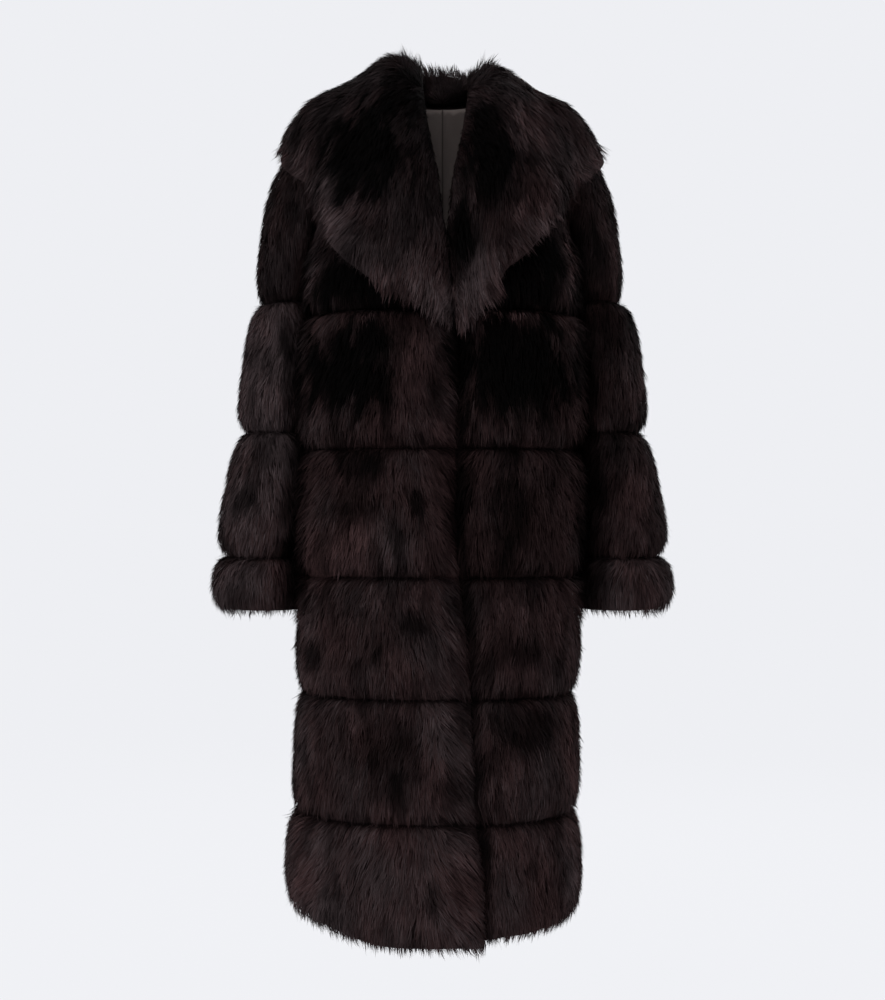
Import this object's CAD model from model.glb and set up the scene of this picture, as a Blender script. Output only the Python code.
# %% [markdown]
# # A long shearling coat
# The coat is sheepskin worn with the pile outside. It is cut in wide bands that are sewn one
# below the other, so each band swells out like a cushion and each seam is a dark groove. A big
# shawl collar lies over the shoulders, and a cloth lining shows in the neck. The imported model
# gives every panel its place and its reach. This lesson dresses each panel with a thin skin and
# with thousands of strands of pile.

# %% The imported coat
import math

import bmesh
import bpy
import numpy as np
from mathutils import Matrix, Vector
from mathutils.bvhtree import BVHTree


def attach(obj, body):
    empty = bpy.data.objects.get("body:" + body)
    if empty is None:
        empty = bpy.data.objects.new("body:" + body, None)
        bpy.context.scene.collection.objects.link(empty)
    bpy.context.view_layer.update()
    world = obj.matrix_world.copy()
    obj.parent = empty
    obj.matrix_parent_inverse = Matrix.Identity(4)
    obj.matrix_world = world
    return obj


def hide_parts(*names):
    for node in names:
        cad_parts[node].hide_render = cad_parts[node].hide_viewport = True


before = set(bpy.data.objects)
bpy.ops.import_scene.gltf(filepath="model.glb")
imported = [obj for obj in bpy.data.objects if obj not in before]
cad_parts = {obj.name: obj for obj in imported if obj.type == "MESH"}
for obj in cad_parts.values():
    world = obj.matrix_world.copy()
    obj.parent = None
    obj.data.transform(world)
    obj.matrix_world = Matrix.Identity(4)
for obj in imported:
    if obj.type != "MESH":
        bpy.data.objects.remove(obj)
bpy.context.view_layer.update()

# %% [markdown]
# ## Camera
# The photograph looks straight at the coat's front, from about two and a quarter metres, level
# with the middle of the fronts. A long lens keeps the sleeves from spreading.

# %% Camera
CAMERA_PLACE = (0.0, -2.25, -0.566)
CAMERA_LENS = 58.7

camera_data = bpy.data.cameras.new("camera")
camera_data.lens = CAMERA_LENS
camera = bpy.data.objects.new("camera", camera_data)
camera.location = CAMERA_PLACE
camera.rotation_euler = (math.radians(90), 0, 0)
bpy.context.scene.collection.objects.link(camera)
bpy.context.scene.camera = camera
print("camera at", CAMERA_PLACE, "lens", CAMERA_LENS)

# %% [markdown]
# ## A smooth random field
# Pile never lies quite the same way twice, yet neighbours agree with each other. A sum of a few
# sine waves in random directions gives such a slow, smooth change for any number of points at
# once. Its wavelength says how large the swirls are. A noise texture would do the same inside a
# material, but the strands need the value while they are being placed.


# %% Smooth field
def smooth_field(points, wavelength, seed, waves=7):
    """A smooth value of about -1 to 1 at each point."""
    rng = np.random.default_rng(seed)
    total = np.zeros(len(points))
    for _ in range(waves):
        heading = rng.normal(size=3)
        heading /= np.linalg.norm(heading)
        turns = 2 * np.pi / (wavelength * rng.uniform(0.7, 1.5))
        total += np.sin(points @ heading * turns + rng.uniform(0, 2 * np.pi))
    return total / math.sqrt(waves)


def ramp(value, start, end):
    """0 before start, 1 after end, and smooth between."""
    share = np.clip((value - start) / (end - start), 0.0, 1.0)
    return share * share * (3 - 2 * share)


def unit(vectors):
    return vectors / np.maximum(np.linalg.norm(vectors, axis=-1, keepdims=True), 1e-9)


def dots(first, second):
    """The dot product of each pair of rows."""
    return np.einsum("ij,ij->i", first, second)


def rows(columns, table):
    """The rows of a table, each with its columns' names."""
    return [dict(zip(columns, row)) for row in table]


print("field at the origin:", smooth_field(np.zeros((1, 3)), 0.1, 1))

# %% [markdown]
# ## Which way is out
# Each panel is a closed wall, with the skin on its inner side and the reach of the pile on its
# outer one. To tell the two apart, every point is compared with the middle of the hollow that
# it surrounds: the body's axis, the bent axis of a sleeve, or a point inside the chest for the
# collar.

# %% Middles of the hollows
CHEST_LEVEL = -0.26
COLLAR_MIDDLE = np.array((0.0, 0.01, -0.14))
# The bends of the left sleeve's axis, from the armhole to the cuff, as x, y and z.
SLEEVE_AXIS = np.array(
    (
        (0.150, 0.020, -0.130),
        (0.2115, 0.048, -0.295),
        (0.223, 0.050, -0.472),
        (0.240, 0.050, -0.645),
        (0.245, 0.050, -0.720),
    )
)


def middle_of(name, points):
    """For each point, the nearest point of the hollow's middle."""
    if name.startswith("collar"):
        return np.tile(COLLAR_MIDDLE, (len(points), 1))
    if name.startswith(("sleeve", "cuff")):
        side = 1.0 if "left" in name else -1.0
        axis = SLEEVE_AXIS * (side, 1, 1)
        best = np.tile(axis[0], (len(points), 1))
        nearest = np.full(len(points), 1e9)
        for start, end in zip(axis, axis[1:]):
            stretch = end - start
            along = np.clip((points - start) @ stretch / (stretch @ stretch), 0, 1)
            place = start + along[:, None] * stretch
            away = np.linalg.norm(points - place, axis=1)
            closer = away < nearest
            best[closer], nearest[closer] = place[closer], away[closer]
        return best
    middle = points * (0.0, 0.0, 1.0)
    middle[:, 2] = np.minimum(middle[:, 2], CHEST_LEVEL)
    return middle


def outward_share(name, points, normals):
    """How far each normal points away from the hollow, from -1 to 1."""
    return dots(unit(points - middle_of(name, points)), normals)


print("left sleeve's axis:", len(SLEEVE_AXIS), "bends")

# %% [markdown]
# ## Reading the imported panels
# A packed panel is a mesh of loose triangles. A bmesh copy of it, with its doubles merged, has
# one normal for each corner and can be searched for its nearest point. The copy leaves the
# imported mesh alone.


# %% Panels as bmeshes
def merged_copy(name):
    """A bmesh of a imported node, with its loose triangles joined."""
    shape = bmesh.new()
    shape.from_mesh(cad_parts[name].data)
    bmesh.ops.remove_doubles(shape, verts=shape.verts, dist=1e-5)
    shape.normal_update()
    shape.verts.ensure_lookup_table()
    return shape


def tree_of_faces(shape, chosen):
    points = [v.co.copy() for v in shape.verts]
    faces = [[v.index for v in face.verts] for face in shape.faces if chosen[face.index]]
    return BVHTree.FromPolygons(points, faces)


def distances(tree, points):
    """How far each point is from the nearest face of a tree."""
    return np.array([tree.find_nearest(Vector(point))[3] for point in points])


def new_piece(name, shape, *materials):
    mesh = bpy.data.meshes.new(name)
    shape.to_mesh(mesh)
    shape.free()
    piece = bpy.data.objects.new(name, mesh)
    bpy.context.scene.collection.objects.link(piece)
    for material in materials:
        mesh.materials.append(material)
    return piece


# %% [markdown]
# ## The pile's finish
# The pile is nearly black at the root and a warm grey-brown at the tip. Each strand carries its
# own colour in an attribute, because a pattern in space would cut through strands that cross.
# Fine streaks along the strand make one blade read as several hairs. A hair shader would shine
# like brushed fur, but raw shearling has little gloss, so a plain surface with a low specular
# level is nearer to it.


# %% Pile finish
def new_material(name):
    material = bpy.data.materials.new(name)
    material.use_nodes = True
    nodes, links = material.node_tree.nodes, material.node_tree.links
    return material, nodes, links, nodes["Principled BSDF"]


def add_range(nodes, low, high, from_low=0.3, from_high=0.7):
    """A node that spreads the middle of a noise over the values from low to high."""
    spread = nodes.new("ShaderNodeMapRange")
    spread.inputs["From Min"].default_value = from_low
    spread.inputs["From Max"].default_value = from_high
    spread.inputs["To Min"].default_value = low
    spread.inputs["To Max"].default_value = high
    return spread


def scaled_tone(nodes, links, surface, factor):
    """Colours a surface by its tone attribute, times a factor."""
    tone = nodes.new("ShaderNodeAttribute")
    tone.attribute_name = "tone"
    mixed = nodes.new("ShaderNodeVectorMath")
    mixed.operation = "SCALE"
    links.new(tone.outputs["Color"], mixed.inputs[0])
    links.new(factor.outputs["Result"], mixed.inputs["Scale"])
    links.new(mixed.outputs["Vector"], surface.inputs["Base Color"])


PILE_ROUGHNESS = 0.70
PILE_GLOSS = 0.02
STREAK_STRETCH = (5.0, 1.3, 1.0)


def pile_material():
    material, nodes, links, surface = new_material("shearling pile")
    place = nodes.new("ShaderNodeUVMap")
    place.uv_map = "strand"
    stretch = nodes.new("ShaderNodeMapping")
    stretch.inputs["Scale"].default_value = STREAK_STRETCH
    streaks = nodes.new("ShaderNodeTexNoise")
    streaks.inputs["Scale"].default_value = 1.0
    streaks.inputs["Detail"].default_value = 3.0
    depth = add_range(nodes, 0.85, 1.15)
    links.new(place.outputs["UV"], stretch.inputs["Vector"])
    links.new(stretch.outputs["Vector"], streaks.inputs["Vector"])
    links.new(streaks.outputs["Fac"], depth.inputs["Value"])
    scaled_tone(nodes, links, surface, depth)
    surface.inputs["Roughness"].default_value = PILE_ROUGHNESS
    surface.inputs["Specular IOR Level"].default_value = PILE_GLOSS
    return material


pile = pile_material()
print("finish:", pile.name)

# %% [markdown]
# ## The underfur's finish
# Between the strands the eye meets short, dense underfur. It is a surface with a fine noise for
# its curls. The noise also drives a bump, which costs no faces and is enough for what is mostly
# covered.

# %% Underfur finish
UNDERFUR_ROUGHNESS = 0.9
UNDERFUR_GLOSS = 0.01
CURLS_SCALE = 620.0
CURLS_STRETCH = (1.0, 1.0, 0.25)
CURLS_DEPTH = 0.0015


def underfur_material():
    material, nodes, links, surface = new_material("shearling underfur")
    where = nodes.new("ShaderNodeTexCoord")
    stretch = nodes.new("ShaderNodeMapping")
    stretch.inputs["Scale"].default_value = CURLS_STRETCH
    curls = nodes.new("ShaderNodeTexNoise")
    curls.inputs["Scale"].default_value = CURLS_SCALE
    curls.inputs["Detail"].default_value = 4.0
    depth = add_range(nodes, 0.5, 1.3)
    bump = nodes.new("ShaderNodeBump")
    bump.inputs["Strength"].default_value = 0.8
    bump.inputs["Distance"].default_value = CURLS_DEPTH
    links.new(where.outputs["Object"], stretch.inputs["Vector"])
    links.new(stretch.outputs["Vector"], curls.inputs["Vector"])
    links.new(curls.outputs["Fac"], depth.inputs["Value"])
    scaled_tone(nodes, links, surface, depth)
    links.new(curls.outputs["Fac"], bump.inputs["Height"])
    links.new(bump.outputs["Normal"], surface.inputs["Normal"])
    surface.inputs["Roughness"].default_value = UNDERFUR_ROUGHNESS
    surface.inputs["Specular IOR Level"].default_value = UNDERFUR_GLOSS
    return material


underfur = underfur_material()
print("finish:", underfur.name)

# %% [markdown]
# ## The lining's finish
# The lining is a fine grey-brown twill with one seam down its middle. A wave on a slant gives the
# weave, a slow noise the small changes that handled cloth has, and a bump raises the threads a
# little. The seam is a dark line where x is almost nothing. It could be cut into the mesh, but it
# is thinner than any fold there.

# %% Lining finish
LINING_DARK = (0.125, 0.100, 0.093, 1)
LINING_LIGHT = (0.215, 0.180, 0.166, 1)
WEAVE_TURN = (0, math.radians(52), math.radians(20))
WEAVE_SCALE = 420.0
THREAD_DEPTH = 0.0004
STITCH_EDGES = (0.0004, 0.0016)
STITCH_SHADE = 0.4


def lining_material():
    material, nodes, links, surface = new_material("twill lining")
    where = nodes.new("ShaderNodeTexCoord")
    turned = nodes.new("ShaderNodeMapping")
    turned.inputs["Rotation"].default_value = WEAVE_TURN
    weave = nodes.new("ShaderNodeTexWave")
    weave.inputs["Scale"].default_value = WEAVE_SCALE
    weave.inputs["Distortion"].default_value = 0.4
    clouds = nodes.new("ShaderNodeTexNoise")
    clouds.inputs["Scale"].default_value = 22.0
    clouds.inputs["Detail"].default_value = 5.0
    colours = nodes.new("ShaderNodeValToRGB")
    colours.color_ramp.elements[0].color = LINING_DARK
    colours.color_ramp.elements[1].color = LINING_LIGHT
    threads = add_range(nodes, 0.8, 1.15, 0.0, 1.0)
    parts = nodes.new("ShaderNodeSeparateXYZ")
    off = nodes.new("ShaderNodeMath")
    off.operation = "ABSOLUTE"
    stitch = add_range(nodes, STITCH_SHADE, 1.0, *STITCH_EDGES)
    both = nodes.new("ShaderNodeMath")
    both.operation = "MULTIPLY"
    shaded = nodes.new("ShaderNodeVectorMath")
    shaded.operation = "SCALE"
    bump = nodes.new("ShaderNodeBump")
    bump.inputs["Strength"].default_value = 0.35
    bump.inputs["Distance"].default_value = THREAD_DEPTH
    links.new(where.outputs["Object"], turned.inputs["Vector"])
    links.new(turned.outputs["Vector"], weave.inputs["Vector"])
    links.new(weave.outputs["Fac"], threads.inputs["Value"])
    links.new(where.outputs["Object"], parts.inputs["Vector"])
    links.new(parts.outputs["X"], off.inputs[0])
    links.new(off.outputs["Value"], stitch.inputs["Value"])
    links.new(threads.outputs["Result"], both.inputs[0])
    links.new(stitch.outputs["Result"], both.inputs[1])
    links.new(where.outputs["Object"], clouds.inputs["Vector"])
    links.new(clouds.outputs["Fac"], colours.inputs["Fac"])
    links.new(colours.outputs["Color"], shaded.inputs[0])
    links.new(both.outputs["Value"], shaded.inputs["Scale"])
    links.new(shaded.outputs["Vector"], surface.inputs["Base Color"])
    links.new(weave.outputs["Fac"], bump.inputs["Height"])
    links.new(bump.outputs["Normal"], surface.inputs["Normal"])
    surface.inputs["Roughness"].default_value = 0.75
    surface.inputs["Specular IOR Level"].default_value = 0.2
    surface.inputs["Sheen Weight"].default_value = 0.05
    return material


lining = lining_material()
print("finish:", lining.name)

# %% [markdown]
# ## One strand of pile
# A strand is a thin kite: a point at the root, its full width half way up, and a point at the
# tip. It could be a curve with a bevel, but hundreds of thousands of tubes are too heavy. Two
# triangles, hinged across the middle, are enough for a strand that bends once. The operator makes
# the kite once, and the places of all strands are then worked out together.

# %% Strand template
KITE_WIDTH = 0.3


def strand_template():
    """(across, along) of each point of a unit strand, and its triangles."""
    shape = bmesh.new()
    bmesh.ops.create_circle(shape, cap_ends=True, segments=4, radius=0.5)
    bmesh.ops.scale(shape, verts=shape.verts, vec=(KITE_WIDTH, 1, 1))
    bmesh.ops.triangulate(shape, faces=shape.faces, quad_method="SHORT_EDGE")
    shape.verts.index_update()
    places = np.array([(v.co.x / KITE_WIDTH * 2, v.co.y + 0.5) for v in shape.verts])
    faces = np.array([[v.index for v in face.verts] for face in shape.faces])
    shape.free()
    return places.round(6), faces


STRAND_PLACES, STRAND_FACES = strand_template()
print("one strand:", STRAND_PLACES.tolist(), STRAND_FACES.tolist())

# %% [markdown]
# ## Which way the pile is combed
# On the bands the pile hangs straight down in the middle and splays towards the side seams,
# where it stands off as a fringe. On the collar it runs away from the neck to the free edge, and
# it stands up on the crests beside the neck. Under the hem and the cuffs it hangs clear. A slow
# random field bends it here and there, as handling does. Combing by hand is how a groom would be
# made in the editor. Here the same few habits are written as directions and added up.

# %% Combing
COLLAR_CROWN = np.array((0.0, 0.03, -0.03))
COMB_CENTRE = np.array((0.0, 0.03, -0.07))
NECK_REACH = (0.055, 0.085)
NECK_RIM = (-0.030, 0.0)
EDGE_PULL = 1.2
EDGE_PULL_REACH = (0.030, 0.090)
RIM_PULL = 2.0
RIM_FALL = np.array((0.0, 0.0, -0.6))
BAND_FALL = np.array((0.0, 0.0, -1.0))
BACK_HALF = 0.19
FRONT_HALF = 0.100
FRONT_MIDDLES = {"front_left": 0.105, "front_right": -0.085}
BAND_SPLAY = 0.75
SLEEVE_SPLAY = 0.15
FREE_DOWN = ("back_6", "front_left_6", "front_right_6", "cuff_left", "cuff_right")
HANG = np.array((0.0, 0.0, -1.5))
UP = np.array((0.0, 0.0, 1.0))
CREST_LIFT = 1.6
CREST_COLUMNS = ("x", "height")
CRESTS = ((-0.036, 1.0), (0.008, 0.55), (0.051, 1.0))
CREST_REACH = (0.008, 0.030)
CREST_LEVELS = (-0.030, -0.005)
SWIRL_COLUMNS = ("strength", "wavelength", "seed")
SWIRLS = ((0.18, 0.12, 11), (0.13, 0.03, 12))


def collar_fall(points, edge_tree):
    """Away from the neck, and near the free edge also straight towards it."""
    edge = np.array([edge_tree.find_nearest(Vector(point))[0] for point in points])
    near = np.linalg.norm(edge - points, axis=1)[:, None]
    pull = EDGE_PULL * (1 - ramp(near, *EDGE_PULL_REACH))
    fall = unit(unit(points - COMB_CENTRE) + (edge - points) / (near + 0.004) * pull)
    in_neck = 1 - ramp(np.hypot(points[:, 0], points[:, 1]), *NECK_REACH)
    in_neck = (in_neck * ramp(points[:, 2], *NECK_RIM))[:, None]
    over_rim = unit((points - COLLAR_CROWN) * (1, 1, 0)) * 0.5 + UP
    return fall * (1 - in_neck) + over_rim * in_neck


def band_fall(name, points):
    """Straight down, and near the sides of the panel also outwards."""
    middle, half = 0.0, BACK_HALF
    for side, place in FRONT_MIDDLES.items():
        if name.startswith(side):
            middle, half = place, FRONT_HALF
    off = np.clip((points[:, 0] - middle) / half, -1, 1)
    sideways = np.zeros_like(points)
    sideways[:, 0] = np.sign(off) * np.abs(off) ** 5
    return BAND_FALL + sideways * BAND_SPLAY


def standing_up(name, points):
    """How much the pile stands up on the crests of the collar, from 0 to about 1."""
    stands = np.zeros(len(points))
    if name.startswith("collar"):
        for crest in rows(CREST_COLUMNS, CRESTS):
            stands += crest["height"] * (1 - ramp(np.abs(points[:, 0] - crest["x"]), *CREST_REACH))
        stands *= ramp(points[:, 2], *CREST_LEVELS)
    return stands


def combed(name, points, normals, edge_tree):
    """The direction of the pile at each point, mostly along the surface."""
    if name.startswith("collar"):
        fall = collar_fall(points, edge_tree)
    elif name.startswith(("front", "back")):
        fall = band_fall(name, points)
    else:
        fall = BAND_FALL + unit((points - middle_of(name, points)) * (1, 1, 0)) * SLEEVE_SPLAY
    swirl = sum(
        smooth_field(points, row["wavelength"], row["seed"]) * row["strength"]
        for row in rows(SWIRL_COLUMNS, SWIRLS)
    )
    fall = fall + np.cross(normals, fall) * swirl[:, None]
    along = unit(fall - normals * dots(fall, normals)[:, None])
    along = along + UP * CREST_LIFT * standing_up(name, points)[:, None]
    if name in FREE_DOWN:
        along = along + HANG * ramp(-normals[:, 2], 0.2, 0.7)[:, None]
    if name.startswith("collar"):
        away = unit(points - COLLAR_CROWN)
        rim = ramp(dots(away, normals), 0.25, 0.75) * ramp(-points[:, 2], 0.0, 0.03)
        along = along + (away + RIM_FALL) * RIM_PULL * rim[:, None]
    return unit(along)


print("pile stands up at x =", [crest["x"] for crest in rows(CREST_COLUMNS, CRESTS)])

# %% [markdown]
# ## Light and dark in the pile
# Where the pile points at the eye it looks almost black, and where it lies flat its tips shine
# grey-brown. The bands are also a little lighter towards the hem, and the collar towards its free
# edge. Each panel has one tone, adjusted until its mean lightness in the render came near the
# photograph's. The back isn't in the photograph, so its tones are a guess. Each dark or light
# place is a soft spot with a middle and a size, because painting a picture on the coat would show
# only from the front. Tones are about 1 on plain pale pile, and warmth runs from cool (-0.5) to
# warm (0.5).

# %% Tones of the panels
PANEL_COLUMNS = ("panel", "tone", "warmth")
PANEL_TONES = (
    ("front_right_1", 0.30, 0.0), ("front_left_1", 0.30, 0.1),
    ("front_right_2", 0.48, 0.3), ("front_left_2", 0.42, 0.3),
    ("front_right_3", 0.47, 0.4), ("front_left_3", 0.34, 0.5),
    ("front_right_4", 0.58, 0.2), ("front_left_4", 0.48, 0.35),
    ("front_right_5", 0.61, 0.0), ("front_left_5", 0.56, 0.2),
    ("front_right_6", 0.80, 0.0), ("front_left_6", 0.62, 0.2),
    ("sleeve_right_1", 0.34, 0.0), ("sleeve_left_1", 0.33, 0.2),
    ("sleeve_right_2", 1.02, -0.3), ("sleeve_left_2", 0.31, 0.2),
    ("sleeve_right_3", 1.00, -0.4), ("sleeve_left_3", 0.47, 0.2),
    ("cuff_right", 0.92, -0.2), ("cuff_left", 0.88, -0.2),
    ("collar_right", 0.68, -0.2), ("collar_left", 0.74, 0.0),
    ("back_1", 0.45, 0.2), ("back_2", 0.48, 0.3), ("back_3", 0.50, 0.4),
    ("back_4", 0.56, 0.3), ("back_5", 0.64, 0.1), ("back_6", 0.78, 0.0),
)
PANELS = {row["panel"]: row for row in rows(PANEL_COLUMNS, PANEL_TONES)}
print("tones of", len(PANELS), "panels")

# %% [markdown]
# ## Spots in the pile
# On the real coat a dark place is where the pile parts or turns towards the eye, and a light one
# is where a lock of pale tips lies flat. The spots are ellipses with ragged edges, placed by hand
# and adjusted against the photograph. They change only what faces the front, so the back keeps
# its even tone.

# %% Light and dark spots
SPOT_COLUMNS = ("x", "z", "half_width", "half_height", "change")
COLLAR_SPOTS = (
    (-0.108, -0.122, 0.064, 0.066, -0.97), (-0.060, -0.035, 0.040, 0.040, -0.85),
    (0.064, -0.113, 0.034, 0.055, -0.93), (0.024, -0.231, 0.014, 0.044, -0.95),
    (-0.160, -0.175, 0.030, 0.045, 0.60), (0.115, -0.083, 0.042, 0.036, 0.95),
    (0.123, -0.126, 0.028, 0.012, -0.50), (0.082, -0.175, 0.036, 0.030, -0.55),
    (0.055, -0.285, 0.020, 0.026, 0.40), (-0.020, -0.070, 0.020, 0.040, -0.30),
    (-0.006, -0.018, 0.014, 0.030, 3.50), (0.052, -0.115, 0.030, 0.060, -0.60),
    (-0.018, -0.120, 0.022, 0.060, -0.40), (0.110, -0.110, 0.030, 0.050, 0.15),
)
PANEL_SPOTS = (
    # On the chest.
    (0.100, -0.272, 0.058, 0.062, -0.985), (0.167, -0.266, 0.010, 0.030, 5.00),
    (-0.140, -0.290, 0.030, 0.028, -0.94), (-0.080, -0.285, 0.054, 0.036, -0.94),
    (-0.171, -0.285, 0.012, 0.022, 2.00), (0.095, -0.326, 0.065, 0.009, 2.20),
    # On the second band.
    (-0.130, -0.412, 0.052, 0.050, -0.98), (-0.096, -0.366, 0.034, 0.027, -0.92),
    (-0.073, -0.435, 0.011, 0.042, -0.85), (0.090, -0.403, 0.078, 0.070, -0.985),
    (0.030, -0.365, 0.016, 0.030, -0.60),
    # On the third band.
    (-0.112, -0.526, 0.030, 0.019, -0.80), (-0.029, -0.575, 0.012, 0.020, -0.75),
    (-0.109, -0.634, 0.060, 0.032, 0.85), (-0.119, -0.590, 0.050, 0.014, -0.50),
    (-0.055, -0.638, 0.008, 0.028, -0.60), (0.090, -0.579, 0.020, 0.065, -0.70),
    (0.025, -0.566, 0.014, 0.042, -0.60), (0.045, -0.600, 0.030, 0.050, -0.25),
    # On the fourth band.
    (-0.172, -0.778, 0.012, 0.021, -0.75), (-0.084, -0.775, 0.007, 0.015, -0.65),
    (-0.029, -0.739, 0.016, 0.018, -0.75), (-0.055, -0.703, 0.014, 0.028, -0.40),
    (0.108, -0.773, 0.022, 0.016, -0.65), (0.114, -0.690, 0.025, 0.018, -0.40),
    (0.036, -0.708, 0.013, 0.048, -0.45),
    # On the fifth band.
    (-0.074, -0.907, 0.033, 0.056, -0.45), (-0.092, -0.905, 0.010, 0.014, -0.55),
    (-0.061, -0.934, 0.012, 0.015, -0.45), (-0.132, -0.851, 0.030, 0.018, 0.30),
    (0.000, -0.900, 0.028, 0.068, 0.25), (0.110, -0.866, 0.040, 0.032, -0.75),
    # On the sixth band.
    (-0.011, -1.077, 0.009, 0.024, -0.40), (0.056, -1.023, 0.008, 0.020, -0.60),
    # On the right sleeve.
    (-0.207, -0.187, 0.013, 0.020, -0.55), (-0.236, -0.229, 0.012, 0.010, 0.50),
    (-0.211, -0.390, 0.009, 0.070, -0.60), (-0.275, -0.574, 0.014, 0.018, -0.60),
    (-0.209, -0.634, 0.019, 0.011, -0.85),
    # On the left sleeve and its cuff.
    (0.199, -0.222, 0.026, 0.055, -0.55), (0.229, -0.188, 0.010, 0.030, 0.50),
    (0.243, -0.255, 0.010, 0.040, 1.00), (0.223, -0.350, 0.030, 0.034, -0.50),
    (0.268, -0.390, 0.016, 0.055, 1.20), (0.218, -0.467, 0.012, 0.005, 1.20),
    (0.218, -0.539, 0.021, 0.052, -0.55), (0.273, -0.566, 0.020, 0.050, 0.35),
    (0.273, -0.678, 0.014, 0.012, -0.40),
)
RAGGED_COLUMNS = ("strength", "wavelength", "seed", "upright")
RAGGED = ((0.22, 0.035, 23, 1.0), (0.16, 0.012, 24, 0.35))
SPOT_EDGE = (0.70, 1.40)


def noise(points, columns, table):
    """The sum of a table's smooth fields. An upright share below 1 draws a field out in height."""
    total = np.zeros(len(points))
    for row in rows(columns, table):
        stretched = points * (1.0, 1.0, row["upright"])
        field = smooth_field(stretched, row["wavelength"], row["seed"], row.get("waves", 7))
        total += row["strength"] * field
    return total


def spotted(points, spots):
    """How much the spots change the tone, with ragged edges, seen from the front."""
    change = np.ones(len(points))
    ragged = noise(points, RAGGED_COLUMNS, RAGGED)
    for spot in rows(SPOT_COLUMNS, spots):
        across = (points[:, 0] - spot["x"]) / spot["half_width"]
        upright = (points[:, 2] - spot["z"]) / spot["half_height"]
        change *= 1 + spot["change"] * (1 - ramp(np.hypot(across, upright) + ragged, *SPOT_EDGE))
    return change


print("spots:", len(COLLAR_SPOTS), "on the collar,", len(PANEL_SPOTS), "on the other panels")

# %% [markdown]
# ## Shadows in the seams
# Each band overhangs the one below it, and its pile throws a soft shadow there. The lamps make a
# part of that shadow. The rest is underfur that never sees light, so its tone is lowered by hand.
# The seams and the closing edge are also needed later, for the fringes along them.

# %% Seams and the closing edge
BAND_SEAMS = (-0.318, -0.498, -0.667, -0.825, -0.987)
SLEEVE_SEAMS = (-0.295, -0.472, -0.645)
SEAM_SHADE = 0.65
SEAM_SHADE_REACH = 0.015
# The front closing edge, as x at each height z.
CLOSING_HEIGHTS = (-1.140, -1.060, -0.990, -0.900, -0.760, -0.667, -0.600, -0.498, -0.400, -0.285, 0.0)
CLOSING_PLACES = (0.052, 0.051, 0.042, 0.038, 0.032, 0.021, 0.017, 0.017, 0.022, 0.012, 0.004)


def seams_of(name):
    return SLEEVE_SEAMS if name.startswith(("sleeve", "cuff")) else BAND_SEAMS


def side_of(name):
    """1 for the wearer's left, -1 for the right."""
    return 1.0 if "left" in name else -1.0


def from_closing(points):
    """How far each point lies to the wearer's left of the closing edge."""
    return points[:, 0] - np.interp(points[:, 2], CLOSING_HEIGHTS, CLOSING_PLACES)


def seam_shadow(name, points):
    """A soft dark line on the top of each band, under the pile of the band above."""
    shade = np.ones(len(points))
    for seam in seams_of(name):
        below = seam - points[:, 2]
        shade *= 1 - SEAM_SHADE * (below > -0.003) * (1 - ramp(below, 0.0, SEAM_SHADE_REACH))
    return shade


print("closing edge runs from x =", CLOSING_PLACES[-1], "at the neck to", CLOSING_PLACES[0])

# %% [markdown]
# ## Adding up the tones
# The tone of a point is its panel's tone, times fields of streaks and patches, times its spots
# and shadows. Multiplying keeps dark places dark whatever else lies over them. The same function
# serves the strands and the skin below them, so they always agree.

# %% Tone at a point
TONE_COLUMNS = ("strength", "wavelength", "seed", "upright", "waves")
TONE_FIELDS = (
    (0.13, 0.010, 25, 0.30, 9), (0.16, 0.024, 27, 0.30, 9),
    (0.14, 0.070, 21, 1.0, 7), (0.10, 0.030, 22, 1.0, 7),
)
MOTTLE = 0.50
MOTTLE_COLUMNS = ("strength", "wavelength", "seed", "upright")
MOTTLE_FIELDS = ((1.0, 0.045, 28, 0.55),)
COLLAR_INNER, COLLAR_EDGE = 0.52, 0.80
COLLAR_EDGE_REACH = (0.016, 0.060)
COLLAR_EDGE_WANDER = 0.012
FRONT_FACING = (-0.25, 0.25)
CLOSING_SHADE, CLOSING_REACH = 0.65, (0.004, 0.018)
SLEEVE_INNER_SHADE = 0.6
SIDE_LIGHT, SIDE_LIGHT_REACH = 0.35, (0.150, 0.172)
COVERED_SHADE, COVERED_REACH, COVERED_LEVELS = 0.55, (0.168, 0.190), (-0.74, -0.70)
DARKEST = 0.02


def tone_at(name, points, normals, edge_tree):
    """How light the pile is at each point."""
    aside = np.abs(points[:, 0])
    front = ramp(-normals[:, 1], *FRONT_FACING)
    tone = PANELS[name]["tone"] * (1 + noise(points, TONE_COLUMNS, TONE_FIELDS))
    tone *= 1 - MOTTLE * ramp(noise(points, MOTTLE_COLUMNS, MOTTLE_FIELDS), 0.0, 1.2)
    if name.startswith("collar"):
        near = distances(edge_tree, points) + COLLAR_EDGE_WANDER * smooth_field(points, 0.05, 26)
        tone *= COLLAR_INNER + COLLAR_EDGE * (1 - ramp(near, *COLLAR_EDGE_REACH))
        change = spotted(points, COLLAR_SPOTS)
    else:
        tone *= seam_shadow(name, points)
        change = spotted(points, PANEL_SPOTS)
    tone *= 1 + (change - 1) * front
    if name.startswith("front_left"):
        tone *= 1 - CLOSING_SHADE * (1 - ramp(from_closing(points), *CLOSING_REACH))
    if name.startswith(("sleeve", "cuff")):
        tone *= 1 - SLEEVE_INNER_SHADE * ramp(-normals[:, 0] * side_of(name), 0.25, 0.9)
    if name.startswith("front"):
        tone *= 1 + SIDE_LIGHT * ramp(aside, *SIDE_LIGHT_REACH) * front
    if name.startswith(("front", "back")):
        covered = ramp(aside, *COVERED_REACH) * ramp(points[:, 2], *COVERED_LEVELS)
        tone *= 1 - COVERED_SHADE * covered * ramp(np.abs(normals[:, 0]), 0.5, 0.9)
    return np.maximum(tone, DARKEST)


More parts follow.
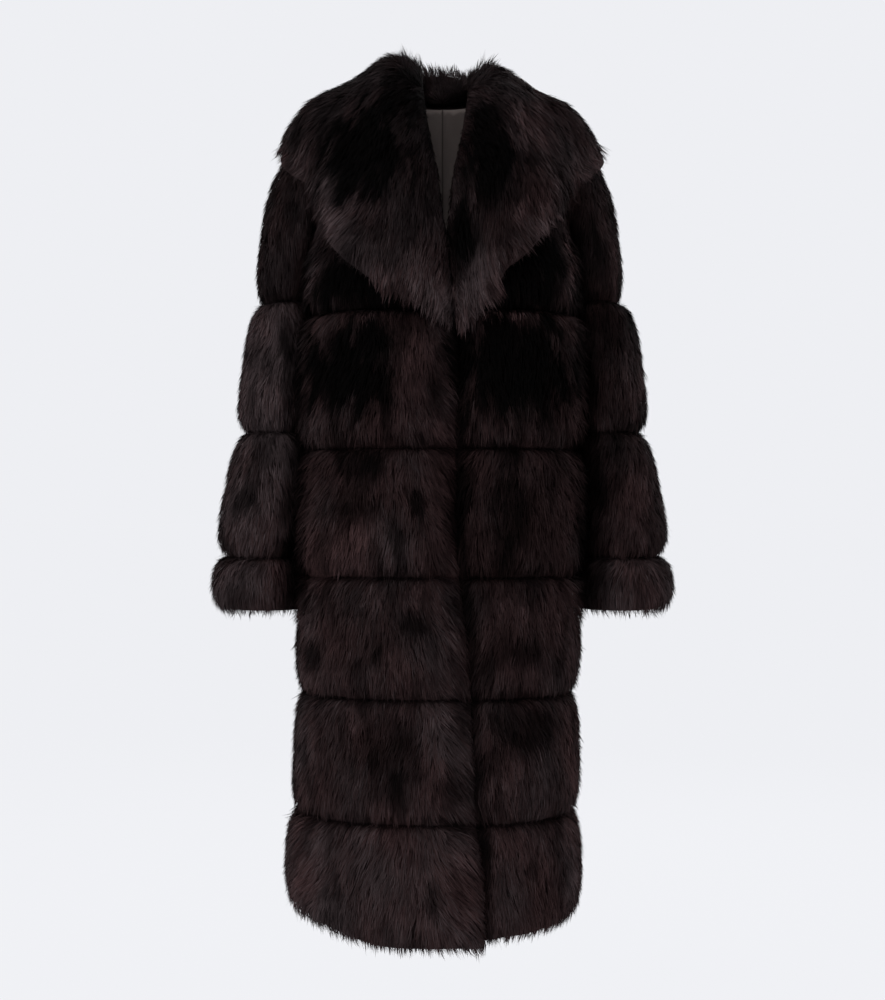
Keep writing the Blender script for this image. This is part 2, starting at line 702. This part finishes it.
# %% [markdown]
# ## From tone to colour
# The dye is a brown that wanders between a cool and a warm shade. A tone scales it. Both colours
# are far darker than they look in the editor's swatch, because the coat is nearly black.

# %% Dyed colour
WARM_COLOUR = np.array((0.0475, 0.0255, 0.0255))
COOL_COLOUR = np.array((0.0430, 0.0315, 0.0325))
DYE_WANDER = 0.35


def colour_at(points, tones, warmth, changes=0.0):
    """The dyed colour at each point, between a cool and a warm brown."""
    share = 0.5 + warmth + DYE_WANDER * smooth_field(points, 0.10, 31) + changes
    share = np.clip(share, 0, 1)[:, None]
    return (COOL_COLOUR + (WARM_COLOUR - COOL_COLOUR) * share) * tones[:, None]


print("dye runs from", COOL_COLOUR, "to", WARM_COLOUR)


# %% [markdown]
# ## Fitting the outline
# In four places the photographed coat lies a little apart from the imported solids: the collar's
# inner edges stand wider, the left half of the collar has a narrower tip, the hem rises at the
# wearer's right side, and the pile on the shoulders is flattened. Moving the finished points by a
# smooth amount keeps the skin and its pile together, where a lattice would need an object of its
# own.

# %% Fitted outline
OPENING_X = 0.0045
OPENING_HEIGHTS = (-0.226, -0.205, -0.175, -0.120, -0.060, 0.0)
OPENING_SHIFTS = (0.0, 0.0035, 0.0070, 0.0055, 0.0030, 0.0)
OPENING_REACH = (0.006, 0.045)
TIP_HEIGHTS = (-0.335, -0.294, -0.257, -0.231, -0.192, -0.150)
TIP_SHIFTS = (0.0, 0.020, 0.024, 0.024, 0.010, 0.0)
TIP_REACH = (0.030, 0.100)
TIP_FORWARD = 0.4
HEM_LIFT = 0.014


def fitted_collar(name, points):
    """The collar's points, its inner edges drawn apart and the left half's free edge drawn in."""
    side = side_of(name)
    moved = points.copy()
    shift = np.interp(points[..., 2], OPENING_HEIGHTS, OPENING_SHIFTS)
    away = np.maximum((points[..., 0] - OPENING_X) * side, 0)
    moved[..., 0] += side * shift * (1 - ramp(away, *OPENING_REACH)) * (points[..., 1] < 0)
    if name == "collar_left":
        drawn = np.interp(points[..., 2], TIP_HEIGHTS, TIP_SHIFTS) * ramp(points[..., 0], *TIP_REACH)
        moved[..., 0] -= drawn
        moved[..., 1] -= drawn * TIP_FORWARD
    return moved


def fitted(name, points):
    """The points of a panel, moved where the coat lies apart from its solid."""
    if name.startswith("collar"):
        return fitted_collar(name, points)
    moved = points.copy()
    if name in ("front_right_6", "back_6"):
        moved[..., 2] += HEM_LIFT * ramp(-points[..., 0], 0.060, 0.170) * ramp(-points[..., 2], 1.050, 1.130)
    return moved


print("hem lifted by", HEM_LIFT, "and the collar's tip drawn in by", max(TIP_SHIFTS))

# %% [markdown]
# ## Pile that is pressed flat
# A coat that has been handled has flatter pile on its shoulders and where an arm lay. Moving the
# tips inwards along their normals is enough, since the skin below is thinner than the wall.

# %% Pressed pile
PRESS = 0.008


def pressed(name, points, normals):
    """The points with the pile flattened on the shoulders and on the left upper arm."""
    depth = np.zeros(len(points))
    if name.startswith("collar"):
        depth = ramp(np.abs(points[:, 0]), 0.06, 0.12) * ramp(points[:, 2], -0.17, -0.12)
    if name == "sleeve_left_1":
        depth = ramp(points[:, 0], 0.19, 0.21)
    return points - normals * (depth * PRESS)[:, None]


# %% [markdown]
# ## The skin under the pile
# Under the pile lies a wall of leather and dense underfur, which is what the eye meets where the
# pile parts. It starts as a copy of the panel's own solid, so that it keeps its place. Its outer
# points are drawn towards the inner side by a fixed share, which leaves room for the pile to
# stand in, and one subdivision rounds it. A shell made with Solidify would lose the solid's
# changes of thickness. Neighbouring skins lap a little at the seams, so that no light shows
# through them.

# %% One skin
SKIN_SHARE = 0.275
SHARP_EDGE = math.radians(50)
SEAM_LAP = 0.002
SIDE_LAP_FROM = 0.12
GROOVE_FILL = 0.006
GROOVE_SEAM = BAND_SEAMS[2]
UNDERFUR_SHADE = 0.70


def rounded_mesh(shape):
    """The bmesh as a mesh, subdivided once with its rims kept sharp."""
    crease = shape.edges.layers.float.new("crease_edge")
    for edge in shape.edges:
        edge[crease] = float(edge.calc_face_angle(0.0) > SHARP_EDGE)
    rough = new_piece("rough", shape)
    rounder = rough.modifiers.new("round", "SUBSURF")
    rounder.levels = rounder.render_levels = 1
    view = bpy.context.evaluated_depsgraph_get()
    mesh = bpy.data.meshes.new_from_object(rough.evaluated_get(view))
    bpy.data.objects.remove(rough)
    return mesh


def paint_tones(mesh, colours):
    stored = mesh.attributes.new("tone", "FLOAT_COLOR", "POINT")
    painted = np.ones((len(colours), 4), dtype=np.float32)
    painted[:, :3] = colours
    stored.data.foreach_set("color", painted.reshape(-1))


def draw_in(name, shape, inner_tree):
    """Draws the outer points of a panel towards its inner side, and presses them where it is worn flat."""
    points = np.array([v.co for v in shape.verts])
    normals = np.array([v.normal for v in shape.verts])
    out = outward_share(name, points, normals)
    for vertex, share in zip(shape.verts, out):
        if share > -0.05:
            skin, _, _, _ = inner_tree.find_nearest(vertex.co)
            vertex.co = vertex.co.lerp(skin, SKIN_SHARE)
    points = np.array([v.co for v in shape.verts])
    points = np.where((out > 0.3)[:, None], pressed(name, points, normals), points)
    for vertex, place in zip(shape.verts, points):
        vertex.co = place
    shape.normal_update()


def lapped(name, points, normals):
    """The skin's points, its seams lapped and the side of one deep groove filled."""
    if name.startswith("collar"):
        at_join = (np.abs(points[:, 0]) < 0.006) & (points[:, 1] > 0)
        points[at_join, 0] = 0
    elif name not in FREE_DOWN:
        points[normals[:, 2] < -0.5, 2] -= SEAM_LAP
    if name.startswith("front"):
        points[(normals[:, 1] > 0.5) & (np.abs(points[:, 0]) > SIDE_LAP_FROM), 1] += SEAM_LAP
    if name.startswith(("front", "back")):
        in_groove = 1 - ramp(np.abs(points[:, 2] - GROOVE_SEAM), 0.004, 0.030)
        in_groove *= ramp(np.abs(points[:, 0]), 0.140, 0.160)
        points += normals * (in_groove * GROOVE_FILL)[:, None]
    return points


def make_skin(name, edge_tree):
    """The wall under the pile, and the tree of its outer side that the strands are rooted in."""
    shape = merged_copy(name)
    centres = np.array([face.calc_center_median() for face in shape.faces])
    facing = outward_share(name, centres, np.array([face.normal for face in shape.faces]))
    draw_in(name, shape, tree_of_faces(shape, facing < -0.25))
    outer_tree = tree_of_faces(shape, facing > -0.1)
    for face, way in zip(shape.faces, facing):
        face.smooth = True
        face.material_index = int(way < -0.25)
    mesh = rounded_mesh(shape)
    points = np.array([v.co for v in mesh.vertices])
    normals = np.array([v.normal for v in mesh.vertices])
    tones = tone_at(name, points, normals, edge_tree)
    paint_tones(mesh, colour_at(points, tones, PANELS[name]["warmth"]) * UNDERFUR_SHADE)
    points = lapped(name, fitted(name, points), normals)
    mesh.vertices.foreach_set("co", points.astype(np.float32).reshape(-1))
    mesh.materials.clear()
    mesh.materials.append(underfur)
    mesh.materials.append(lining)
    mesh.name = "skin_" + name
    skin = bpy.data.objects.new("skin_" + name, mesh)
    bpy.context.scene.collection.objects.link(skin)
    return skin, outer_tree


print("skin drawn in by", SKIN_SHARE, "of the wall")

# %% [markdown]
# ## Where pile grows
# Pile grows on a panel's outer side and on the rims that no seam joins, not on the rims inside a
# seam or on the side of the lining. A hair system would need a vertex group for this. Here each
# face is asked which way it points.


# %% Faces that wear pile
def wears_pile(name, centres, normals, facing):
    """Which faces of a panel show pile: its outer side, and the rims that no seam joins."""
    chosen = facing > 0.25
    if name in FREE_DOWN:
        chosen |= normals[:, 2] < -0.5
    if name.startswith("front"):
        chosen |= (-normals[:, 0] * side_of(name) > 0.5) & (facing > -0.6)
    if name.startswith("collar"):
        from_axis = np.hypot(centres[:, 0], centres[:, 1] - 0.02)
        inward = -(centres[:, 0] * normals[:, 0] + (centres[:, 1] - 0.02) * normals[:, 1]) / from_axis
        chosen = (facing > -0.25) | ((inward > 0.2) & (centres[:, 2] > -0.02) & (from_axis < 0.10))
    return chosen


def bare_panel(name):
    """The corners of a panel's faces that wear pile, and the corners' normals."""
    shape = merged_copy(name)
    corners = np.array([[v.co for v in face.verts] for face in shape.faces])
    corner_normals = np.array([[v.normal for v in face.verts] for face in shape.faces])
    normals = np.array([face.normal for face in shape.faces])
    shape.free()
    facing = outward_share(name, corners.mean(axis=1), normals)
    chosen = wears_pile(name, corners.mean(axis=1), normals, facing)
    return corners[chosen], corner_normals[chosen]


def edge_of(name):
    """A tree of a collar half's free edge, to measure from, or nothing for another panel."""
    if not name.startswith("collar"):
        return None
    shape = merged_copy(name)
    centres = np.array([face.calc_center_median() for face in shape.faces])
    normals = np.array([face.normal for face in shape.faces])
    facing = outward_share(name, centres, normals)
    away = centres - COLLAR_CROWN
    rim = (np.abs(facing) < 0.35) & (np.linalg.norm(away, axis=1) > 0.12)
    rim &= (dots(unit(away), normals) > 0.2) & (np.abs(centres[:, 0]) > 0.02)
    tree = tree_of_faces(shape, rim)
    shape.free()
    return tree


def areas_of(corners):
    sides = corners[:, 1:] - corners[:, :1]
    return np.linalg.norm(np.cross(sides[:, 0], sides[:, 1]), axis=1) / 2


print("pile on collar_left:", areas_of(bare_panel("collar_left")[0]).sum().round(4), "m2")

# %% [markdown]
# ## How far the tips stand out
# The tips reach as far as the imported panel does. Near an edge they stand out further, in uneven
# tufts: along the collar's free edge and on its crests, over each seam, at the side seams, under
# the hem and the cuffs, and over the closing edge, where the right front lies on the left one.
# Between the sleeves and the body the pile stands out to close the gap, as the photograph shows.

# %% Fringes
EDGE_FRINGE = 0.007
COLLAR_FRINGE, COLLAR_FRINGE_REACH = 1.9, (0.004, 0.030)
SHOULDER_CUT, SHOULDER_REACH = 1.1, (0.17, 0.20)
CREST_FRINGE = 2.2
SEAM_FRINGE_REACH = (0.003, 0.022)
SIDE_FRINGE, SIDE_FRINGE_REACH = 1.2, (0.165, 0.185)
HEM_FRINGE = 0.9
CLOSING_FRINGE, CLOSING_FRINGE_REACH = 1.8, (0.004, 0.022)
TUFTED, TUFTS_DEPTH, TUFTS_WAVELENGTH, TUFTS_LEAST = 0.65, 0.85, 0.008, 0.10
GAP_PILE = 0.008
GAP_AT_SEAM = 1.5


def fringe_reach(name, points, normals, edge_tree):
    """How much further the tips stand out near a panel's edges, in fringes."""
    aside = np.abs(points[:, 0])
    if name.startswith("collar"):
        fringe = COLLAR_FRINGE - SHOULDER_CUT * ramp(aside, *SHOULDER_REACH)
        fringe = fringe * (1 - ramp(distances(edge_tree, points), *COLLAR_FRINGE_REACH))
        return fringe + standing_up(name, points) * CREST_FRINGE
    reach = np.zeros(len(points))
    for seam in seams_of(name):
        above = points[:, 2] - seam
        reach = np.maximum(reach, (above > 0) * (1 - ramp(above, *SEAM_FRINGE_REACH)))
    reach *= 1 + ramp(aside, 0.14, 0.17)
    if name.startswith(("front", "back")):
        reach = np.maximum(reach, ramp(aside, *SIDE_FRINGE_REACH) * SIDE_FRINGE)
    if name in FREE_DOWN:
        reach = np.maximum(reach, ramp(-normals[:, 2], 0.2, 0.7) * HEM_FRINGE)
    if name.startswith("front_right"):
        near = 1 - ramp(-from_closing(points), *CLOSING_FRINGE_REACH)
        reach = np.maximum(reach, CLOSING_FRINGE * near)
    return reach


def gap_reach(name, points, normals):
    """How far the pile between a sleeve and the body stands out further, to close the gap."""
    at_height = ramp(points[:, 2], -0.74, -0.72) * ramp(-points[:, 2], 0.20, 0.26)
    if name.startswith(("sleeve", "cuff")):
        return at_height * ramp(-normals[:, 0] * side_of(name), 0.35, 0.80)
    if name.startswith(("front", "back")):
        at_seam = 1 + GAP_AT_SEAM * (1 - ramp(np.abs(points[:, 2] - GROOVE_SEAM), 0.006, 0.025))
        at_side = ramp(np.abs(normals[:, 0]), 0.65, 0.95) * ramp(np.abs(points[:, 0]), 0.14, 0.16)
        return at_height * at_seam * at_side
    return at_height * 0


print("fringe on the crests:", round(EDGE_FRINGE * CREST_FRINGE, 4), "m")

# %% [markdown]
# ## Laying the tips
# The tips are scattered evenly over the outer side of the panel, a few strands to a tuft.
# Scattering tips and not roots keeps every tip at the panel's true reach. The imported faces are
# flat, so each tip is lifted towards the curve that the corners' normals describe.

# %% Tips
TUFTS_PER_SQUARE_METRE = 68000
TONE_SPREAD = 0.07
TIP_DEPTH, TIP_SPREAD = -0.0012, 0.0016
TIP_SLIDE = 0.004


def scatter(corners, corner_normals, count, rng):
    """Points spread evenly over triangles, rounded with the corners' normals."""
    areas = areas_of(corners)
    picked = rng.choice(len(corners), size=count, p=areas / areas.sum())
    first, second = rng.random(count), rng.random(count)
    over = first + second > 1
    first[over], second[over] = 1 - first[over], 1 - second[over]
    shares = np.stack((1 - first - second, first, second), axis=1)
    flat = np.einsum("ij,ijk->ik", shares, corners[picked])
    normals = unit(np.einsum("ij,ijk->ik", shares, corner_normals[picked]))
    heights = np.einsum("ijk,ijk->ij", flat[:, None] - corners[picked], corner_normals[picked])
    lifted = flat[:, None] - heights[:, :, None] * corner_normals[picked]
    rounded = np.einsum("ij,ijk->ik", shares, lifted)
    return flat * 0.3 + rounded * 0.7, normals


def lay_tips(name, edge_tree, rng):
    """The place, outward direction, fall and tone of each tuft's tip."""
    corners, corner_normals = bare_panel(name)
    count = int(areas_of(corners).sum() * TUFTS_PER_SQUARE_METRE)
    tips, outs = scatter(corners, corner_normals, count, rng)
    falls = combed(name, tips, outs, edge_tree)
    tones = tone_at(name, tips, outs, edge_tree) * rng.lognormal(0, TONE_SPREAD, count)
    tips = pressed(name, tips, outs)
    depth = rng.normal(TIP_DEPTH, TIP_SPREAD, count)
    depth += GAP_PILE * rng.random(count) * gap_reach(name, tips, outs)
    tips += outs * depth[:, None]
    tufted = np.maximum(TUFTED + TUFTS_DEPTH * smooth_field(tips, TUFTS_WAVELENGTH, 33), TUFTS_LEAST)
    reach = fringe_reach(name, tips, outs, edge_tree) * tufted
    slide = rng.uniform(0, TIP_SLIDE, count)
    slide += rng.uniform(0.3, 1, count) * EDGE_FRINGE * reach
    return tips + falls * slide[:, None], outs, falls, tones


print("tufts to a square metre:", TUFTS_PER_SQUARE_METRE)

# %% [markdown]
# ## Rooting and bending the strands
# Each strand is rooted a little way upstream of its tip, in the skin below. Near a seam there is
# no skin upstream, so those strands are rooted in the seam and stand short, as they do on the
# real coat. A strand bends once, along a curve through its root, a lifted middle and its tip. It
# lies nearly flat on the coat, and takes most of its normal from the coat's own surface, so that
# thousands of thin blades shade as one soft coat.

# %% Strands
STRANDS_PER_TUFT = 3
TUFT_ACROSS, TUFT_ALONG, TUFT_OUT = 0.0012, 0.003, 0.0008
LEAN_LENGTH = 0.024
ROOT_DEPTH = 0.012
ROOT_SPREAD = 0.0018
ROOT_SINK = 0.001
BULGE = 0.17
BEND_SPREAD = 0.0010
ROLL_SPREAD = 0.45
NORMAL_SHARE = 0.75
NORMAL_FALL = 0.15
STRAND_HALF_WIDTH = 0.00046


def spines(tips, outs, falls, across, skin_tree, rng):
    """The root of each strand, and the three points that its curve is drawn from, along it."""
    total = len(tips)
    leans = LEAN_LENGTH * rng.uniform(0.6, 1.3, total)
    roots = tips - falls * leans[:, None] - outs * ROOT_DEPTH
    roots += across * rng.normal(0, ROOT_SPREAD, total)[:, None]
    found = [skin_tree.find_nearest(Vector(root)) for root in roots]
    lifts = np.array([normal for _, normal, _, _ in found])
    rooted = np.array([place for place, _, _, _ in found]) - lifts * ROOT_SINK
    bulge = np.linalg.norm(tips - rooted, axis=1) * BULGE
    bend = rooted * 0.5 + tips * 0.5 + (lifts * 0.6 + outs * 0.4) * bulge[:, None]
    bend += across * rng.normal(0, BEND_SPREAD, total)[:, None]
    along = STRAND_PLACES[:, 1]
    shares = np.stack(((1 - along) ** 2, 2 * along * (1 - along), along**2))
    return rooted, np.einsum("ijk,jl->ilk", np.stack((rooted, bend, tips), axis=1), shares)


def blades(rooted, tips, outs, falls, spine, rng):
    """The points and the normals of each strand, its blade rolled a little about its spine."""
    total = len(tips)
    heading = unit(tips - rooted)
    flat_side = unit(np.cross(heading, outs))
    roll = rng.normal(0, ROLL_SPREAD, total)[:, None]
    flat_side = flat_side * np.cos(roll) + np.cross(heading, flat_side) * np.sin(roll)
    facing = unit(np.cross(flat_side, heading))
    turned = np.sign(dots(facing, outs))[:, None]
    flat_side, facing = flat_side * turned, facing * turned
    normals = unit(outs * NORMAL_SHARE + facing * (1 - NORMAL_SHARE) - falls * NORMAL_FALL)
    half = STRAND_HALF_WIDTH * rng.uniform(0.7, 1.4, total)
    return spine + flat_side[:, None] * STRAND_PLACES[:, :1] * half[:, None, None], normals


print("strands to a tuft:", STRANDS_PER_TUFT, "length about", LEAN_LENGTH, "m")

# %% [markdown]
# ## One mesh for a panel's pile
# All the strands of a panel are one mesh, with their colours in the tone attribute that the
# finish reads. Joining single objects would be far too slow, so the mesh is filled in one go from
# the places of the kite that was made above. Lighter strands are also a little cooler, as on the
# coat.

# %% One panel's pile
ROOT_SHADE = 0.68
LIGHT_SPREAD = 0.20
HUE_SPREAD = 0.15
COOLER = 1.2


def strand_mesh(name, points, colours, normals, turns):
    """One mesh of all strands. Points, colours and normals hold a row for each strand."""
    total, per_strand = points.shape[:2]
    faces = (STRAND_FACES[None] + (np.arange(total) * per_strand)[:, None, None]).reshape(-1)
    mesh = bpy.data.meshes.new(name)
    mesh.vertices.add(total * per_strand)
    mesh.vertices.foreach_set("co", points.astype(np.float32).reshape(-1))
    mesh.loops.add(len(faces))
    mesh.loops.foreach_set("vertex_index", faces.astype(np.int32))
    mesh.polygons.add(len(faces) // 3)
    mesh.polygons.foreach_set("loop_start", np.arange(0, len(faces), 3, dtype=np.int32))
    mesh.polygons.foreach_set("use_smooth", np.ones(len(faces) // 3, dtype=bool))
    laid = mesh.uv_layers.new(name="strand")
    unwrapped = np.empty((total, per_strand, 2))
    unwrapped[:, :, 0] = STRAND_PLACES[:, 0] * 0.5 + turns[:, None]
    unwrapped[:, :, 1] = STRAND_PLACES[:, 1]
    laid.data.foreach_set("uv", unwrapped.reshape(-1, 2)[faces].astype(np.float32).reshape(-1))
    mesh.update()
    mesh.normals_split_custom_set_from_vertices(np.repeat(normals, per_strand, axis=0))
    paint_tones(mesh, colours.reshape(-1, 3))
    mesh.materials.append(pile)
    piece = bpy.data.objects.new(name, mesh)
    bpy.context.scene.collection.objects.link(piece)
    return piece


def make_pile(name, skin_tree, edge_tree, seed):
    """All the strands of one panel, as one piece."""
    rng = np.random.default_rng(seed)
    tufts = lay_tips(name, edge_tree, rng)
    tips, outs, falls, tones = (np.repeat(values, STRANDS_PER_TUFT, axis=0) for values in tufts)
    total = len(tips)
    across = np.cross(outs, falls)
    spread = rng.normal(0, 1, (total, 3)) * (TUFT_ACROSS, TUFT_ALONG, TUFT_OUT)
    tips = tips + across * spread[:, :1] + falls * spread[:, 1:2] + outs * spread[:, 2:]
    rooted, spine = spines(tips, outs, falls, across, skin_tree, rng)
    points, normals = blades(rooted, tips, outs, falls, spine, rng)
    lighter = rng.normal(0, LIGHT_SPREAD, total)
    hue = rng.normal(0, HUE_SPREAD, total) - COOLER * lighter
    colour = colour_at(tips, tones * np.exp(lighter), PANELS[name]["warmth"], hue)
    shade = ROOT_SHADE + (1 - ROOT_SHADE) * STRAND_PLACES[:, 1]
    colours = colour[:, None] * shade[None, :, None]
    return strand_mesh("pile_" + name, fitted(name, points), colours, normals, rng.uniform(0, 400, total))


print("light and dark strands differ by about", LIGHT_SPREAD)

# %% [markdown]
# ## Dressing every panel
# Each panel gets its skin and its pile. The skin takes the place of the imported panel, and is
# declared as a sheet cut to the panel's flat size, with the pile as the piece that goes on it. A
# sleeve or a cuff is cut all round. The area is given where the cut is not a rectangle. One loop
# dresses all panels, because only their sizes and tones differ.

# %% Dressed panels
FIRST_SEED = 100
CUT_COLUMNS = ("panel", "width", "length", "area")
CUTS = (
    ("front_right_1", 0.25, 0.40, 0.074), ("front_left_1", 0.24, 0.40, 0.069),
    ("front_right_2", 0.28, 0.20, None), ("front_left_2", 0.245, 0.20, None),
    ("front_right_3", 0.28, 0.19, None), ("front_left_3", 0.24, 0.19, None),
    ("front_right_4", 0.30, 0.18, None), ("front_left_4", 0.23, 0.18, None),
    ("front_right_5", 0.31, 0.18, None), ("front_left_5", 0.22, 0.18, None),
    ("front_right_6", 0.35, 0.165, None), ("front_left_6", 0.21, 0.165, None),
    ("back_1", 0.46, 0.40, 0.142), ("back_2", 0.515, 0.20, None), ("back_3", 0.515, 0.19, None),
    ("back_4", 0.545, 0.18, None), ("back_5", 0.57, 0.18, None), ("back_6", 0.60, 0.165, None),
    ("sleeve_right_1", 0.38, 0.25, 0.070), ("sleeve_left_1", 0.38, 0.25, 0.070),
    ("sleeve_right_2", 0.38, 0.195, None), ("sleeve_left_2", 0.38, 0.195, None),
    ("sleeve_right_3", 0.41, 0.19, None), ("sleeve_left_3", 0.41, 0.19, None),
    ("cuff_right", 0.43, 0.09, None), ("cuff_left", 0.43, 0.09, None),
    ("collar_right", 0.26, 0.62, 0.131), ("collar_left", 0.26, 0.62, 0.131),
)


for number, cut in enumerate(rows(CUT_COLUMNS, CUTS)):
    name, flat, area = cut["panel"], (cut["width"], cut["length"]), cut["area"]
    edge_tree = edge_of(name)
    skin, skin_tree = make_skin(name, edge_tree)
    strands = make_pile(name, skin_tree, edge_tree, FIRST_SEED + number)
    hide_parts(name)
    for piece in (skin, strands):
        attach(piece, "root")

# %% [markdown]
# ## The lining in the neck
# Only the lining of the back neck shows, with one seam down its middle. It keeps the packed
# node's form and gets a few soft upright ripples, which a loose cloth has. A cloth simulation
# would hang it just as plainly, because it is sewn in on all sides.

# %% Lining
RIPPLE = 0.0008
RIPPLE_WAVELENGTH = 0.05
RIPPLE_STRETCH = (1.0, 1.0, 0.2)

lining_shape = merged_copy("back_lining")
lining_points = np.array([v.co for v in lining_shape.verts])
ripples = smooth_field(lining_points * RIPPLE_STRETCH, RIPPLE_WAVELENGTH, 41) * RIPPLE
for vertex, ripple in zip(lining_shape.verts, ripples):
    vertex.co.y += ripple
for face in lining_shape.faces:
    face.smooth = True
lining_mesh = rounded_mesh(lining_shape)
lining_mesh.materials.clear()
lining_mesh.materials.append(lining)
lining_piece = bpy.data.objects.new("neck_lining", lining_mesh)
bpy.context.scene.collection.objects.link(lining_piece)
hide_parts("back_lining")
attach(lining_piece, "root")
print("neck lining:", len(lining_mesh.polygons), "faces")

# %% [markdown]
# ## Ground
# The coat hangs before an even, pale ground. The ground runs on to the horizon in the same tone
# as the light around it, so no line shows. A curved paper backdrop would need its own lights to
# look as even. The disc only stages the coat and isn't part of it.

# %% Ground
GROUND_LEVEL = -1.5
GROUND_RADIUS = 60.0
GROUND_GREY = (0.05, 0.05, 0.05, 1)
GROUND_GLOW = 0.95
PALE = (0.855, 0.863, 0.896)

world = bpy.data.worlds.new("studio")
bpy.context.scene.world = world
world.use_nodes = True
world.node_tree.nodes["Background"].inputs["Color"].default_value = (*PALE, 1)
world.node_tree.nodes["Background"].inputs["Strength"].default_value = 1.0

ground_shape = bmesh.new()
bmesh.ops.create_circle(ground_shape, cap_ends=True, segments=64, radius=GROUND_RADIUS)
bmesh.ops.translate(ground_shape, verts=ground_shape.verts, vec=(0, 0, GROUND_LEVEL))
ground_material, _, _, ground_surface = new_material("pale ground")
ground_surface.inputs["Base Color"].default_value = GROUND_GREY
ground_surface.inputs["Roughness"].default_value = 1.0
ground_surface.inputs["Specular IOR Level"].default_value = 0.0
ground_surface.inputs["Emission Color"].default_value = (*PALE, 1)
ground_surface.inputs["Emission Strength"].default_value = GROUND_GLOW
ground = new_piece("ground", ground_shape, ground_material)
print("ground at", GROUND_LEVEL)

# %% [markdown]
# ## Lamps
# Dark pile shows its form only where light grazes it. A large soft lamp from the upper left of
# the picture gives the bands their roundness, a weak one fills from the right, and one behind
# lights the back view. Large area lamps are used because small ones would make each strand
# sparkle.

# %% Lamps
LAMP_AIM = Vector((0, 0, -0.5))
LAMP_COLUMNS = ("name", "place", "size", "power")
LAMPS = (
    ("key", (-1.4, -2.4, 1.3), 2.6, 45.0),
    ("fill", (2.0, -2.0, 0.2), 2.6, 12.0),
    ("back", (0.5, 2.4, 1.0), 2.6, 40.0),
)
for row in rows(LAMP_COLUMNS, LAMPS):
    lamp_data = bpy.data.lights.new(row["name"], "AREA")
    lamp_data.size = row["size"]
    lamp_data.energy = row["power"]
    lamp = bpy.data.objects.new(row["name"], lamp_data)
    lamp.location = row["place"]
    aim = LAMP_AIM - Vector(row["place"])
    lamp.rotation_euler = aim.to_track_quat("-Z", "Y").to_euler()
    bpy.context.scene.collection.objects.link(lamp)
print("lamps:", [row["name"] for row in rows(LAMP_COLUMNS, LAMPS)])

# %% [markdown]
# ## Colour management
# The editor's usual view transform lifts deep shadows and greys bright grounds. The plain
# transform keeps the pale ground and the dark pile at the tones of the materials.

# %% Colour management
bpy.context.scene.view_settings.view_transform = "Standard"
print("view transform:", bpy.context.scene.view_settings.view_transform)
